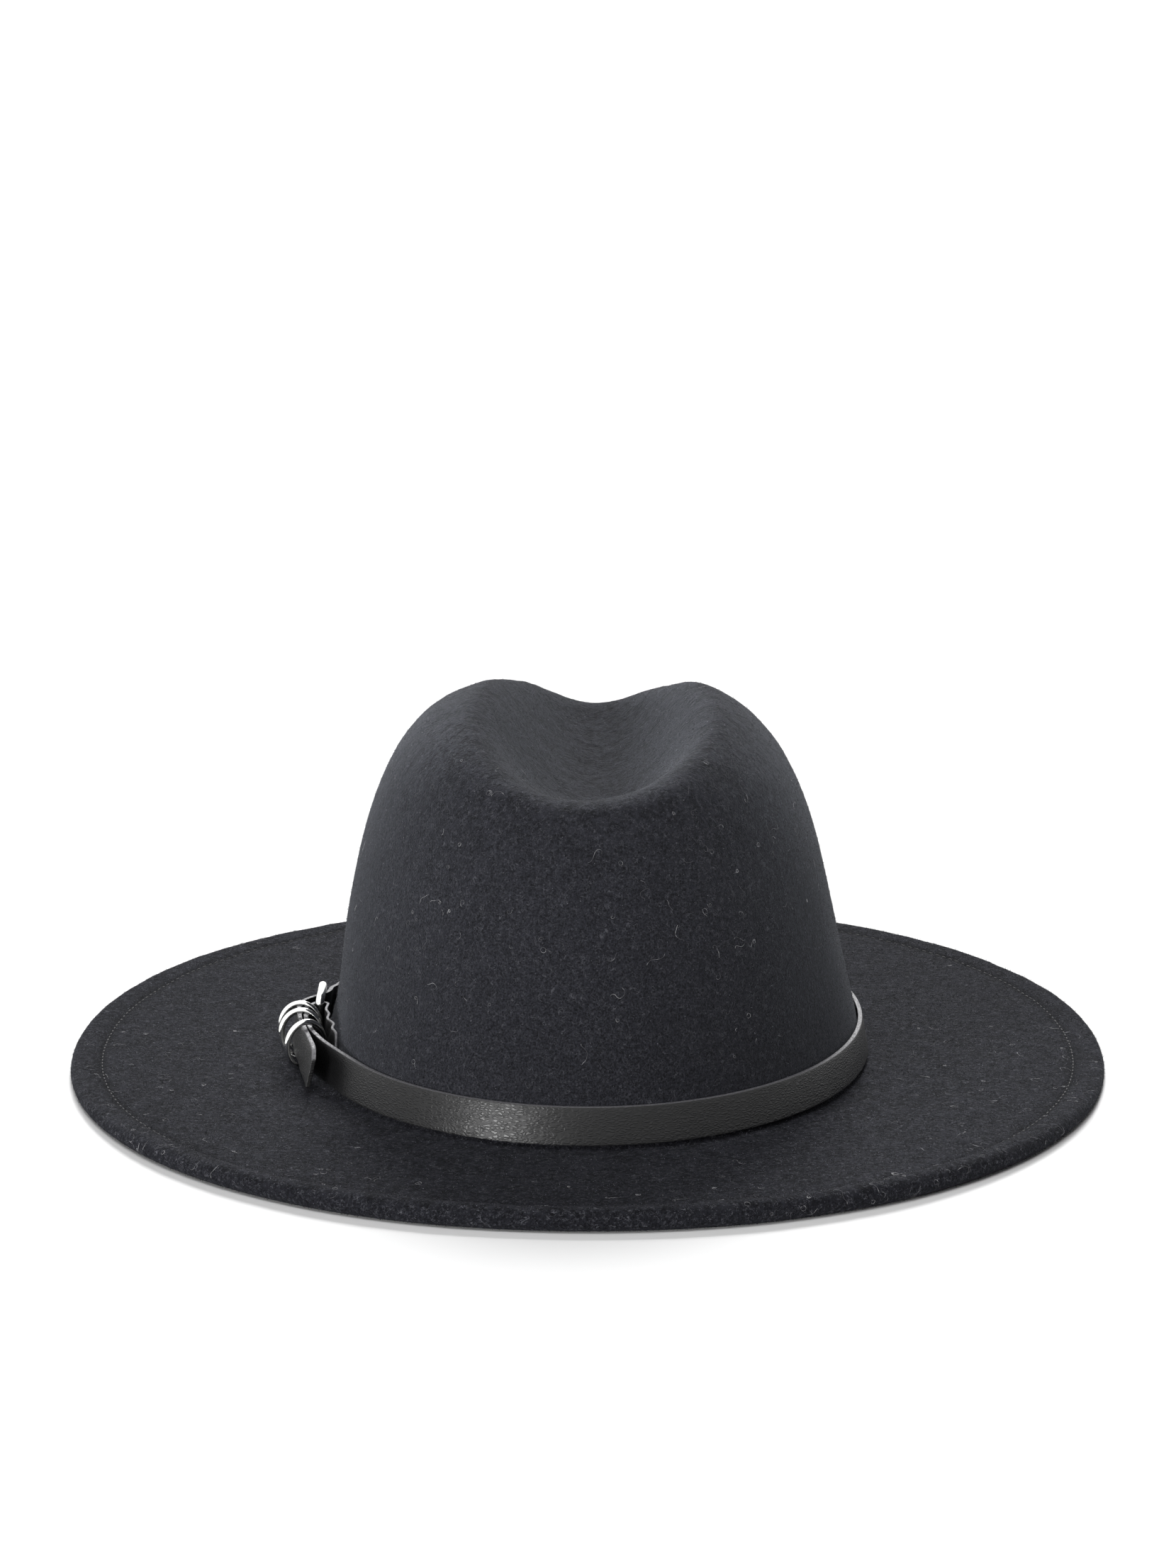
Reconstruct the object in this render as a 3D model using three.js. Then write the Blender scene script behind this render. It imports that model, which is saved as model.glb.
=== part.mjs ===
// A wide-brimmed felt fedora with a belt-like leather hat band.
// Millimetres, +Z up. The origin is on the surface that the hat stands on, below the middle of
// the brim. The front of the hat points to +Y, and the wearer's left is the -X side, where the
// band is buckled.
import * as THREE from "three";
import { mergeVertices } from "three/addons/utils/BufferGeometryUtils.js";

// Felt: one blocked piece, so the crown and the brim share one thickness.
const FELT = 2.2;
const SECTORS = 64;

// Brim: an oval a little squarer than an ellipse, rolled under at the edge and stitched. The roll
// is fuller round the back of the hat, over the stretch where the sine of the angle from +X runs
// between the two shares below.
const BRIM_HALF_WIDTH = 160.6;
const BRIM_HALF_LENGTH = 175.1;
const BRIM_POWER = 2.07;
const BRIM_FALL = 1.2;
const HEM_WIDTH = 10;
const HEM_THICK = 4.2;
const BACK_FULLER = 2.6;
const FULLER_FROM = -0.15;
const FULLER_ALL = -0.95;
const GROOVE_DEEP = 0.8;
const GROOVE_HALF = 1.1;
const ROLL_SHARES = [0.5, 0.8, 1];

// Crown: the break is the small round where the wall leaves the brim.
const CROWN_Y = -0.9;
const CROWN_POWER = 2.0;
const BREAK_ROUND = 2.2;

// Sections of the crown before it is creased. z is the height and x the middle of the section;
// side, back and front are how far the felt's outer face reaches from that middle.
const CROWN_SECTIONS = [
  { z: 3.0, x: 0.0, side: 85.5, back: 105.0, front: 105.0 },
  { z: 8.0, x: 0.2, side: 84.6, back: 103.9, front: 104.1 },
  { z: 18.0, x: 0.6, side: 82.3, back: 101.2, front: 102.2 },
  { z: 32.0, x: 0.9, side: 78.9, back: 97.6, front: 99.4 },
  { z: 48.0, x: 0.9, side: 75.5, back: 93.8, front: 96.2 },
  { z: 64.0, x: 0.7, side: 72.2, back: 89.6, front: 92.6 },
  { z: 80.0, x: 0.6, side: 67.8, back: 83.8, front: 87.4 },
  { z: 93.0, x: 0.4, side: 62.4, back: 76.4, front: 81.0 },
  { z: 103.0, x: 0.1, side: 56.2, back: 67.6, front: 73.0 },
  { z: 110.5, x: 0.0, side: 48.4, back: 56.4, front: 61.8 },
  { z: 116.0, x: 0.8, side: 36.8, back: 42.4, front: 46.6 },
  { z: 119.2, x: 1.6, side: 20.5, back: 23.0, front: 26.0 },
  { z: 120.0, x: 2.0, side: 0.0, back: 0.0, front: 0.0 },
];

// The teardrop crease pressed into the top: the middle's x, the floor's height and half the
// width CREASE_RISE above the floor, along the crown from back to front.
const CREASE_RISE = 20;
const CREASE_BLEND = 13;
const CREASE_SECTIONS = [
  { y: -100, x: -3.0, floor: 118, half: 34 },
  { y: -74, x: -1.5, floor: 104.2, half: 32.5 },
  { y: -56, x: 0.0, floor: 94.4, half: 31 },
  { y: -30, x: 1.8, floor: 86.5, half: 28 },
  { y: 0, x: 2.4, floor: 87, half: 25.5 },
  { y: 35, x: 2.4, floor: 91.5, half: 23 },
  { y: 62, x: 2.4, floor: 96.5, half: 21 },
  { y: 100, x: 2.4, floor: 106, half: 20 },
];

// Dents pushed into the wall: the middle's angle from +X and its z, the depth, and the reach
// along the wall and up it. Two are the fingers' pinches at the front; the third is where the
// buckled end of the band presses on the felt. Towards the crown's middle they fade out.
const DENT_RADIUS = 90;
const DENT_FADE = 60;
const DENTS = [
  { name: "pinch_left", angle: 123, z: 86, deep: 13, wide: 21, high: 24 },
  { name: "pinch_right", angle: 57, z: 86, deep: 13, wide: 21, high: 24 },
  { name: "under_buckle", angle: 186, z: 13, deep: 5.0, wide: 34, high: 18 },
];

// Leather strap: width, thickness, and the air between it and the felt, which grows to FLAP_GAP
// towards the buckle on the folded end, or flap. Both ends are cut at a slant at the top.
const BAND_WIDTH = 11.0;
const BAND_THICK = 1.5;
const FLAP_THICK = 1.0;
const BAND_GAP = 0.6;
const FLAP_GAP = 1.9;
const BAND_MIDDLE_Z = 10.25;
const TIP_LENGTH = 5;
const TIP_SLANT = 2.4;
const FLAP_END_LENGTH = 5;
const FLAP_END_SLANT = 4.0;

// Metal: oval wire rings, and a wire buckle whose higher power squares its corners.
const RING_WIRE = 1.9;
const RING_HALF_WIDE = 7.15;
const RING_HALF_HIGH = 8.4;
const RING_POWER = 2;
const RING_STEPS = 28;
const TRIM_LEAN = 0.135;
const TRIM_Z = 11.9;
const BUCKLE_WIRE = 2.8;
const BUCKLE_HIGH = 17.6;
const BUCKLE_LONG = 19.0;
const BUCKLE_POWER = 8;
const BUCKLE_STEPS = 36;
const PRONG_WIRE = 1.6;
const WIRE_SIDES = 8;

// The three rings that keep the strap's free end, seen from the back of the hat forwards.
const RINGS = [
  { name: "ring_1", x: -86.6, y: -26, turn: 27, nod: -2 },
  { name: "ring_2", x: -88.6, y: -14, turn: 6, nod: 2 },
  { name: "ring_3", x: -89.15, y: -5.5, turn: 0, nod: -1 },
];
const BUCKLE_AT = { x: -84.2, heelY: 0.8, z: 12.05 };

// The prong's way out of the strap's hole and over the frame's far bar.
const PRONG_PATH = [
  { x: -86.6, y: 12.6 },
  { x: -86.9, y: 14.6 },
  { x: -86.7, y: 17.0 },
  { x: -86.2, y: 19.2 },
];

// The strap's way past the buckle and rings, by the middle of its thickness and height. lean is
// how far it tips in for each millimetre up. The folded end starts against the felt, turns round
// the buckle's heel bar and runs back through the rings.
const FOLD = [
  { x: -81.4, y: -0.6, z: 11.9, lean: 0.06, thick: 1.0 },
  { x: -81.45, y: 1.4, z: 11.9, lean: 0.135, thick: 1.1 },
  { x: -82.3, y: 2.9, z: 11.9, lean: 0.135, thick: 1.3 },
  { x: -84.0, y: 3.45, z: 11.9, lean: 0.135, thick: 1.5 },
  { x: -85.75, y: 2.75, z: 11.9, lean: 0.135, thick: 1.5 },
  { x: -86.6, y: 1.0, z: 11.9, lean: 0.135, thick: 1.5 },
  { x: -87.5, y: -2.3, z: 11.9, lean: 0.135, thick: 1.5 },
  { x: -88.2, y: -5.5, z: 11.9, lean: 0.135, thick: 1.5 },
  { x: -87.7, y: -14.0, z: 11.9, lean: 0.135, thick: 1.5 },
  { x: -85.7, y: -26.0, z: 11.9, lean: 0.135, thick: 1.5 },
  { x: -83.0, y: -33.5, z: 11.3, lean: 0.15, thick: 1.5 },
  { x: -79.7, y: -40.5, z: 10.9, lean: 0.17, thick: 1.5 },
  { x: -76.1, y: -47.0, z: 10.5, lean: 0.19, thick: 1.5 },
];

// The free end comes round the front of the hat, goes inside the buckle's far bar and over the
// fold, bulges, and runs out through the rings to its slanting tip.
const FREE_END = [
  { x: -81.7, y: 22.0, z: 11.4, lean: 0.15, thick: 1.5 },
  { x: -81.7, y: 17.0, z: 11.9, lean: 0.135, thick: 1.5 },
  { x: -82.9, y: 13.8, z: 11.9, lean: 0.135, thick: 1.5 },
  { x: -85.8, y: 10.8, z: 11.9, lean: 0.135, thick: 1.5 },
  { x: -88.4, y: 7.6, z: 11.9, lean: 0.135, thick: 1.5 },
  { x: -90.1, y: 4.0, z: 11.9, lean: 0.135, thick: 1.5 },
  { x: -90.7, y: -0.5, z: 11.9, lean: 0.135, thick: 1.5 },
  { x: -90.2, y: -5.5, z: 11.9, lean: 0.135, thick: 1.5 },
  { x: -89.6, y: -14.0, z: 11.9, lean: 0.135, thick: 1.5 },
  { x: -87.45, y: -26.4, z: 11.9, lean: 0.14, thick: 1.5 },
  { x: -86.3, y: -33.5, z: 11.5, lean: 0.21, thick: 1.5 },
  { x: -85.0, y: -40.0, z: 11.2, lean: 0.22, thick: 1.5 },
  { x: -84.1, y: -45.0, z: 10.9, lean: 0.23, thick: 1.5 },
  { x: -83.5, y: -49.5, z: 10.7, lean: 0.24, thick: 1.5 },
];

// Where along the wall, in degrees from +X, the flap starts and ends and the plain stretch runs,
// and how long the strap's facets are on the plain stretch and past the buckle and rings.
const FLAP_FROM = 205;
const FLAP_TO = 184;
const LOOP_FROM = 217;
const LOOP_TO = 518;
const LOOP_STEP = 7;
const FLAP_ROWS = 7;
const LOOP_STRIDE = 9;
const TRIM_STRIDE = 3;

const FELT_LOOK = { color: 0x303033, roughness: 0.95, metalness: 0 };
const LEATHER_LOOK = { color: 0x1e1e20, roughness: 0.45, metalness: 0 };
const METAL_LOOK = { color: 0xc9c9cc, roughness: 0.2, metalness: 1 };

const radians = THREE.MathUtils.degToRad;

// All columns of a table at a value of its key column, by a smooth curve through the rows.
function readTable(rows, key, value) {
  const last = rows.length - 2;
  let i = rows.findIndex((row) => row[key] > value) - 1;
  if (i < 0) i = value < rows[0][key] ? 0 : last;
  const [a, b] = [rows[i], rows[i + 1]];
  const before = rows[Math.max(i - 1, 0)];
  const after = rows[Math.min(i + 2, last + 1)];
  const t = THREE.MathUtils.clamp((value - a[key]) / (b[key] - a[key]), 0, 1);
  const result = {};
  for (const column of Object.keys(a)) {
    const slopeA = (b[column] - before[column]) / (b[key] - before[key]);
    const slopeB = (after[column] - a[column]) / (after[key] - a[key]);
    const span = b[key] - a[key];
    result[column] =
      (2 * t ** 3 - 3 * t ** 2 + 1) * a[column] +
      (t ** 3 - 2 * t ** 2 + t) * span * slopeA +
      (3 * t ** 2 - 2 * t ** 3) * b[column] +
      (t ** 3 - t ** 2) * span * slopeB;
  }
  return result;
}

const crownRows = CROWN_SECTIONS.map((row, i) => ({ step: i, ...row }));

function ovalRadius(angle, halfWidth, halfLength, power) {
  if (halfWidth < 1e-6) return 0;
  const across = Math.abs(Math.cos(angle) / halfWidth) ** power;
  const along = Math.abs(Math.sin(angle) / halfLength) ** power;
  return (across + along) ** (-1 / power);
}

// The brim's outline, moved in from its edge by some millimetres.
function brimOval(angle, inset, z) {
  const halfWidth = BRIM_HALF_WIDTH - inset;
  const halfLength = BRIM_HALF_LENGTH - inset;
  const r = ovalRadius(angle, halfWidth, halfLength, BRIM_POWER);
  return new THREE.Vector3(r * Math.cos(angle), r * Math.sin(angle), z);
}

// How thick the rolled edge is at an angle from +X.
function hemThick(angle) {
  const share = THREE.MathUtils.smoothstep(-Math.sin(angle), -FULLER_FROM, -FULLER_ALL);
  return HEM_THICK + BACK_FULLER * share;
}

// The top of the roll, from its crest at share 0 down to the groove's floor at share 1.
function rollTop(angle, share) {
  const thick = hemThick(angle);
  const floor = HEM_THICK - GROOVE_DEEP;
  const inset = thick / 2 + share * (HEM_WIDTH - thick / 2);
  return brimOval(angle, inset, floor + (thick - floor) * Math.sqrt(1 - share * share));
}

function smoothMin(a, b, blend) {
  const h = THREE.MathUtils.clamp(0.5 + (b - a) / (2 * blend), 0, 1);
  return b + (a - b) * h - blend * h * (1 - h);
}

function creaseHeight(x, y) {
  const row = readTable(CREASE_SECTIONS, "y", y);
  return row.floor + CREASE_RISE * ((x - row.x) / row.half) ** 2;
}

// The felt's outer face on the crown. step counts rows of CROWN_SECTIONS, and spread moves the
// wall out, as the round of the break needs.
function crownPoint(angle, step, spread = 0) {
  const row = readTable(crownRows, "step", step);
  const reach = Math.sin(angle) < 0 ? row.back : row.front;
  let r = ovalRadius(angle, row.side, reach, CROWN_POWER) + spread;
  for (const dent of DENTS) {
    const turn = Math.atan2(Math.sin(angle - radians(dent.angle)), Math.cos(angle - radians(dent.angle)));
    const along = (turn * DENT_RADIUS) / dent.wide;
    const up = (row.z - dent.z) / dent.high;
    r -= dent.deep * Math.exp(-along * along - up * up) * THREE.MathUtils.smoothstep(r, 0, DENT_FADE);
  }
  const x = row.x + r * Math.cos(angle);
  const y = CROWN_Y + r * Math.sin(angle);
  return new THREE.Vector3(x, y, smoothMin(row.z, creaseHeight(x, y), CREASE_BLEND));
}

const lastStep = crownRows.length - 1;
const brimTop = HEM_THICK - BRIM_FALL;

// Which step of CROWN_SECTIONS is at a height, before the crease.
function stepAtHeight(z) {
  let [low, high] = [0, lastStep];
  for (let i = 0; i < 40; i += 1) {
    const middle = (low + high) / 2;
    if (readTable(crownRows, "step", middle).z < z) low = middle;
    else high = middle;
  }
  return low;
}

const wallStart = stepAtHeight(brimTop + BREAK_ROUND);

// Small steps used to measure a slope: in rows of the table, and in radians.
const ROW_NUDGE = 0.02;
const ANGLE_NUDGE = 0.01;

// The felt's upper face from the hem's groove to the middle of the crown. u runs 0 to 1 over
// the brim, 1 to 2 round the break, and 2 to upperEnd up the wall and over the top. SHOULDER is
// where the wall starts to turn in, and above it the sections lie closer.
const upperEnd = 2 + lastStep;
const SHOULDER = 9;

function feltUpper(angle, u) {
  if (u <= 1) {
    const outer = brimOval(angle, HEM_WIDTH + GROOVE_HALF, HEM_THICK);
    const inner = crownPoint(angle, 0, BREAK_ROUND);
    inner.z = brimTop;
    return outer.lerp(inner, u);
  }
  if (u <= 2) {
    const bend = (u - 1) * (Math.PI / 2);
    const z = brimTop + BREAK_ROUND * (1 - Math.cos(bend));
    const wall = crownPoint(angle, stepAtHeight(z), BREAK_ROUND * (1 - Math.sin(bend)));
    wall.z = z;
    return wall;
  }
  return crownPoint(angle, wallStart + ((u - 2) / lastStep) * (lastStep - wallStart));
}

// The felt's under face: the upper face moved in by the felt's thickness along its normal.
function feltLower(angle, u) {
  const here = feltUpper(angle, u);
  if (u > upperEnd - ROW_NUDGE) return here.add(new THREE.Vector3(0, 0, -FELT));
  const alongU = feltUpper(angle, u + ROW_NUDGE).sub(feltUpper(angle, Math.max(u - ROW_NUDGE, 0)));
  const alongAngle = feltUpper(angle + ANGLE_NUDGE, u).sub(feltUpper(angle - ANGLE_NUDGE, u));
  const normal = alongAngle.cross(alongU).normalize();
  return here.addScaledVector(normal, -FELT);
}

// Closes a geometry made of separate faces and drops triangles that have no area.
function closed(geometry) {
  geometry.deleteAttribute("normal");
  geometry.deleteAttribute("uv");
  const merged = mergeVertices(geometry, 1e-4);
  const index = merged.getIndex().array;
  const kept = [];
  for (let i = 0; i < index.length; i += 3) {
    const [a, b, c] = [index[i], index[i + 1], index[i + 2]];
    if (a !== b && b !== c && c !== a) kept.push(a, b, c);
  }
  merged.setIndex(kept);
  merged.computeVertexNormals();
  return merged;
}

function mesh(name, geometry, look) {
  const made = new THREE.Mesh(closed(geometry), new THREE.MeshStandardMaterial(look));
  made.name = name;
  return made;
}

function range(from, to, count) {
  return Array.from({ length: count }, (_, i) => from + ((to - from) * i) / (count - 1));
}

// The felt in section, from the top of the head hollow out under the brim, round the edge and
// back over the top. Each entry gives a point for any angle about the crown.
function feltProfile() {
  const brimUnder = HEM_THICK - FELT;
  const under = [
    ...range(upperEnd, SHOULDER, 13),
    ...range(SHOULDER - 1, 2, 6),
    1.5,
    1,
  ].map((u) => (angle) => feltLower(angle, u));
  const hemUnder = [
    (angle) => brimOval(angle, HEM_WIDTH, brimUnder),
    (angle) => brimOval(angle, HEM_WIDTH, 0),
    (angle) => brimOval(angle, HEM_WIDTH / 2, 0),
  ];
  const roll = range(-90, 90, 7).map((turn) => (angle) => {
    const edge = hemThick(angle) / 2;
    return brimOval(angle, edge - edge * Math.cos(radians(turn)), edge + edge * Math.sin(radians(turn)));
  });
  const groove = ROLL_SHARES.map((share) => (angle) => rollTop(angle, share));
  const over = [
    0, 0.35, 0.7,
    ...range(1, 2, 4),
    ...range(3, SHOULDER, 8),
    ...range(SHOULDER + 0.3, upperEnd, 18),
  ].map((u) => (angle) => feltUpper(angle, u));
  return [...under, ...hemUnder, ...roll, ...groove, ...over];
}

function feltBody() {
  const profile = feltProfile();
  const stand = profile.map((point, i) => {
    const onAxis = i === 0 || i === profile.length - 1;
    return new THREE.Vector2(onAxis ? 0 : 1, i);
  });
  const geometry = new THREE.LatheGeometry(stand, SECTORS);
  const position = geometry.getAttribute("position");
  for (let sector = 0; sector <= SECTORS; sector += 1) {
    const angle = (2 * Math.PI * (sector % SECTORS)) / SECTORS - Math.PI / 2;
    profile.forEach((point, i) => {
      const p = point(angle);
      position.setXYZ(sector * profile.length + i, p.x, p.y, p.z);
    });
  }
  return mesh("felt_body", geometry, FELT_LOOK);
}

// Where the felt's outer face is at a height on the lower wall.
function wallAt(angle, z) {
  return crownPoint(angle, stepAtHeight(z));
}

// A station of the strap lying against the wall at an angle about the crown. Over a hollow in the
// wall it rests on its two edges.
function wallStation(angleDegrees, z, gap, thick) {
  const angle = radians(angleDegrees);
  const middle = wallAt(angle, z);
  const ahead = wallAt(angle + ANGLE_NUDGE, z).sub(wallAt(angle - ANGLE_NUDGE, z)).normalize();
  const outward = new THREE.Vector3(ahead.y, -ahead.x, 0);
  const low = wallAt(angle, z - BAND_WIDTH / 2).dot(outward);
  const high = wallAt(angle, z + BAND_WIDTH / 2).dot(outward);
  const slope = (low - high) / BAND_WIDTH;
  const hollow = Math.max((low + high) / 2 - middle.dot(outward), 0);
  middle.addScaledVector(outward, gap + hollow + thick / 2);
  return { x: middle.x, y: middle.y, z, lean: slope, thick };
}

function strapStations() {
  const flap = range(0, 1, FLAP_ROWS).map((along) => {
    const angle = FLAP_FROM + (FLAP_TO - FLAP_FROM) * along;
    const station = wallStation(angle, TRIM_Z, BAND_GAP + (FLAP_GAP - BAND_GAP) * along, FLAP_THICK);
    return { ...station, lean: station.lean * (1 - along) };
  });
  const loop = [];
  for (let angle = LOOP_FROM; angle <= LOOP_TO; angle += LOOP_STEP) {
    loop.push(wallStation(angle, BAND_MIDDLE_Z, BAND_GAP, BAND_THICK));
  }
  const rows = [...flap, ...FOLD, ...loop, ...FREE_END];
  const curve = new THREE.CatmullRomCurve3(
    rows.map((row) => new THREE.Vector3(row.x, row.y, row.z)), false, "centripetal");
  const stations = [];
  for (let i = 0; i < rows.length - 1; i += 1) {
    const [a, b] = [rows[i], rows[i + 1]];
    const span = Math.hypot(b.x - a.x, b.y - a.y);
    const onLoop = loop.includes(a) && loop.includes(b);
    const steps = Math.max(1, Math.round(span / (onLoop ? LOOP_STRIDE : TRIM_STRIDE)));
    for (let k = 0; k < steps; k += 1) {
      const t = k / steps;
      const at = (i + t) / (rows.length - 1);
      stations.push({
        place: curve.getPoint(at),
        ahead: curve.getTangent(at),
        lean: a.lean + (b.lean - a.lean) * t,
        thick: a.thick + (b.thick - a.thick) * t,
      });
    }
  }
  const end = rows[rows.length - 1];
  stations.push({ place: curve.getPoint(1), ahead: curve.getTangent(1), lean: end.lean, thick: end.thick });
  return stations;
}

// The direction in plan towards the crown, from a place beside it.
function inward(place) {
  const wide = CROWN_SECTIONS[0].side;
  const long = CROWN_SECTIONS[0].back;
  const x = -place.x / wide ** 2;
  const y = -(place.y - CROWN_Y) / long ** 2;
  return new THREE.Vector3(x, y, 0).normalize();
}

function hatBand() {
  const stations = strapStations();
  const count = stations.length - 1;
  const fromStart = [0];
  for (let i = 1; i <= count; i += 1) {
    fromStart.push(fromStart[i - 1] + stations[i].place.distanceTo(stations[i - 1].place));
  }
  const geometry = new THREE.BoxGeometry(1, 1, 1, count, 1, 1);
  const position = geometry.getAttribute("position");
  for (let i = 0; i < position.count; i += 1) {
    const at = Math.round((position.getX(i) + 0.5) * count);
    const station = stations[at];
    const side = position.getY(i);
    let up = position.getZ(i) * BAND_WIDTH;
    if (up > 0) {
      up -= TIP_SLANT * Math.max(1 - (fromStart[count] - fromStart[at]) / TIP_LENGTH, 0);
      up -= FLAP_END_SLANT * Math.max(1 - fromStart[at] / FLAP_END_LENGTH, 0);
    }
    const across = new THREE.Vector3(-station.ahead.y, station.ahead.x, 0).normalize();
    const p = station.place.clone();
    p.addScaledVector(across, side * station.thick);
    p.addScaledVector(inward(station.place), up * station.lean);
    p.z += up;
    position.setXYZ(i, p.x, p.y, p.z);
  }
  return mesh("hat_band", geometry, LEATHER_LOOK);
}

// A closed ring of round wire along an oval; a high power squares its corners.
function wireOval(halfWide, halfHigh, wire, power, around) {
  const geometry = new THREE.TorusGeometry(halfWide, wire / 2, WIRE_SIDES, around);
  const position = geometry.getAttribute("position");
  for (let i = 0; i < position.count; i += 1) {
    const angle = Math.atan2(position.getY(i), position.getX(i));
    const out = Math.hypot(position.getX(i), position.getY(i)) - halfWide;
    const cos = Number(Math.cos(angle).toFixed(9));
    const sin = Number(Math.sin(angle).toFixed(9));
    const x = halfWide * Math.sign(cos) * Math.abs(cos) ** (2 / power);
    const y = halfHigh * Math.sign(sin) * Math.abs(sin) ** (2 / power);
    const nx = Math.sign(x) * Math.abs(x / halfWide) ** (power - 1) / halfWide;
    const ny = Math.sign(y) * Math.abs(y / halfHigh) ** (power - 1) / halfHigh;
    const length = Math.hypot(nx, ny);
    position.setXY(i, x + (out * nx) / length, y + (out * ny) / length);
  }
  return geometry;
}

// Turns a piece so that its own X points ahead, and its Y up and leaning in with the trim.
function standOnTrim(piece, x, y, z, ahead) {
  const up = inward(new THREE.Vector3(x, y, 0)).multiplyScalar(TRIM_LEAN);
  up.z = 1;
  const right = ahead.clone().normalize();
  const out = right.clone().cross(up).normalize();
  const upright = out.clone().cross(right);
  piece.quaternion.setFromRotationMatrix(new THREE.Matrix4().makeBasis(right, upright, out));
  piece.position.set(x, y, z);
  return piece;
}

function ring({ name, x, y, turn, nod }) {
  const centreWide = RING_HALF_WIDE - RING_WIRE / 2;
  const centreHigh = RING_HALF_HIGH - RING_WIRE / 2;
  const piece = mesh(name, wireOval(centreWide, centreHigh, RING_WIRE, RING_POWER, RING_STEPS), METAL_LOOK);
  const across = new THREE.Vector3(-Math.cos(radians(turn)), -Math.sin(radians(turn)), 0);
  standOnTrim(piece, x, y, TRIM_Z, across);
  piece.rotateX(radians(nod));
  return piece;
}

function buckleFrame() {
  const halfLong = (BUCKLE_LONG - BUCKLE_WIRE) / 2;
  const halfHigh = (BUCKLE_HIGH - BUCKLE_WIRE) / 2;
  const loop = wireOval(halfLong, halfHigh, BUCKLE_WIRE, BUCKLE_POWER, BUCKLE_STEPS);
  const piece = mesh("buckle_frame", loop, METAL_LOOK);
  const { x, heelY, z } = BUCKLE_AT;
  return standOnTrim(piece, x, heelY + halfLong, z, new THREE.Vector3(0, 1, 0));
}

function buckleProng() {
  const path = new THREE.CatmullRomCurve3(
    PRONG_PATH.map((row) => new THREE.Vector3(row.x, row.y, BUCKLE_AT.z)));
  const section = new THREE.Shape();
  section.absarc(0, 0, PRONG_WIRE / 2, 0, 2 * Math.PI);
  const geometry = new THREE.ExtrudeGeometry(section, {
    steps: 8, curveSegments: 4, bevelEnabled: false, extrudePath: path,
  });
  return mesh("buckle_prong", geometry, METAL_LOOK);
}

const fedora = new THREE.Group();
fedora.add(feltBody(), hatBand());
RINGS.forEach((row) => fedora.add(ring(row)));
fedora.add(buckleFrame(), buckleProng());

export default fedora;
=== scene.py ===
# %% [markdown]
# # A wide-brimmed felt fedora
#
# This lesson dresses a hat whose solid parts are already made: a blocked felt cap, a leather
# strap, three wire rings, and a wire buckle with its prong. The solids carry the real sizes.
# Here each one gets its fine surface: a soft nap on the felt, grain on the leather and polish
# on the wire. Everything is in metres, with +Z up and the front of the hat towards +Y.

# %% Load the frame
import math
import random

import bmesh
import bpy
from mathutils import Matrix, Vector, noise
from mathutils.bvhtree import BVHTree


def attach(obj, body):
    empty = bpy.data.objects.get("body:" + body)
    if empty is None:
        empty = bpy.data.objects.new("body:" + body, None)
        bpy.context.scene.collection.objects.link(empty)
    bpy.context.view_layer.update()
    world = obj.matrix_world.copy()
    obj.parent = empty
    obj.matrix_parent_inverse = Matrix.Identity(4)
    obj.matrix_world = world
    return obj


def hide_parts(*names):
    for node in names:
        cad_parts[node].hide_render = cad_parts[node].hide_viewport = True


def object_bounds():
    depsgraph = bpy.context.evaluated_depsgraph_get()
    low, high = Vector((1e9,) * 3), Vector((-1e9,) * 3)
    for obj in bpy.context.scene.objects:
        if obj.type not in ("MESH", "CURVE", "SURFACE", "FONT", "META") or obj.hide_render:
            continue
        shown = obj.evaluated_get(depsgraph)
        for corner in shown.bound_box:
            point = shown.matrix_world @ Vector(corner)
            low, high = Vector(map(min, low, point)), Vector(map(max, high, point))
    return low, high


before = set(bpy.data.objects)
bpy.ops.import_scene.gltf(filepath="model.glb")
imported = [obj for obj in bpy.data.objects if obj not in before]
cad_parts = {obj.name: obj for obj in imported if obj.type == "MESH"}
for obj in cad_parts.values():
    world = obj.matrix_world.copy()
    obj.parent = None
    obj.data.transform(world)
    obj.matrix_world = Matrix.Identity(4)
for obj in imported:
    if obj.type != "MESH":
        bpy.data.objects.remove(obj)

MM = 0.001
cad_low, cad_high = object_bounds()
print("box of the solids, mm:", [round((b - a) / MM, 1) for a, b in zip(cad_low, cad_high)])

# %% [markdown]
# ## The camera
#
# The hat was photographed from behind and a little above, with a long lens. A camera could be
# placed by eye, but the outline of the brim says more: how flat its oval looks gives the pitch,
# and how much wider the near half is than the far half gives the distance. The lens follows
# from the picture's height, because Blender fits the sensor to the longer side.

# %% Camera
PHOTO_HEIGHT = 2212
FOCAL_PIXELS = 7320
SENSOR = 36.0
CAMERA_PITCH = math.radians(13.4)
CAMERA_DISTANCE = 1.6
CAMERA_TARGET = Vector((0.0001, 0.0, 0.08795))

camera_data = bpy.data.cameras.new("camera")
camera_data.sensor_width = SENSOR
camera_data.lens = SENSOR * FOCAL_PIXELS / PHOTO_HEIGHT
camera = bpy.data.objects.new("camera", camera_data)
back = Vector((0, -math.cos(CAMERA_PITCH), math.sin(CAMERA_PITCH)))
camera.location = CAMERA_TARGET + CAMERA_DISTANCE * back
camera.rotation_euler = (math.pi / 2 - CAMERA_PITCH, 0, 0)
bpy.context.scene.collection.objects.link(camera)
bpy.context.scene.camera = camera
print("camera height, mm:", round(camera.location.z / MM))

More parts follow.
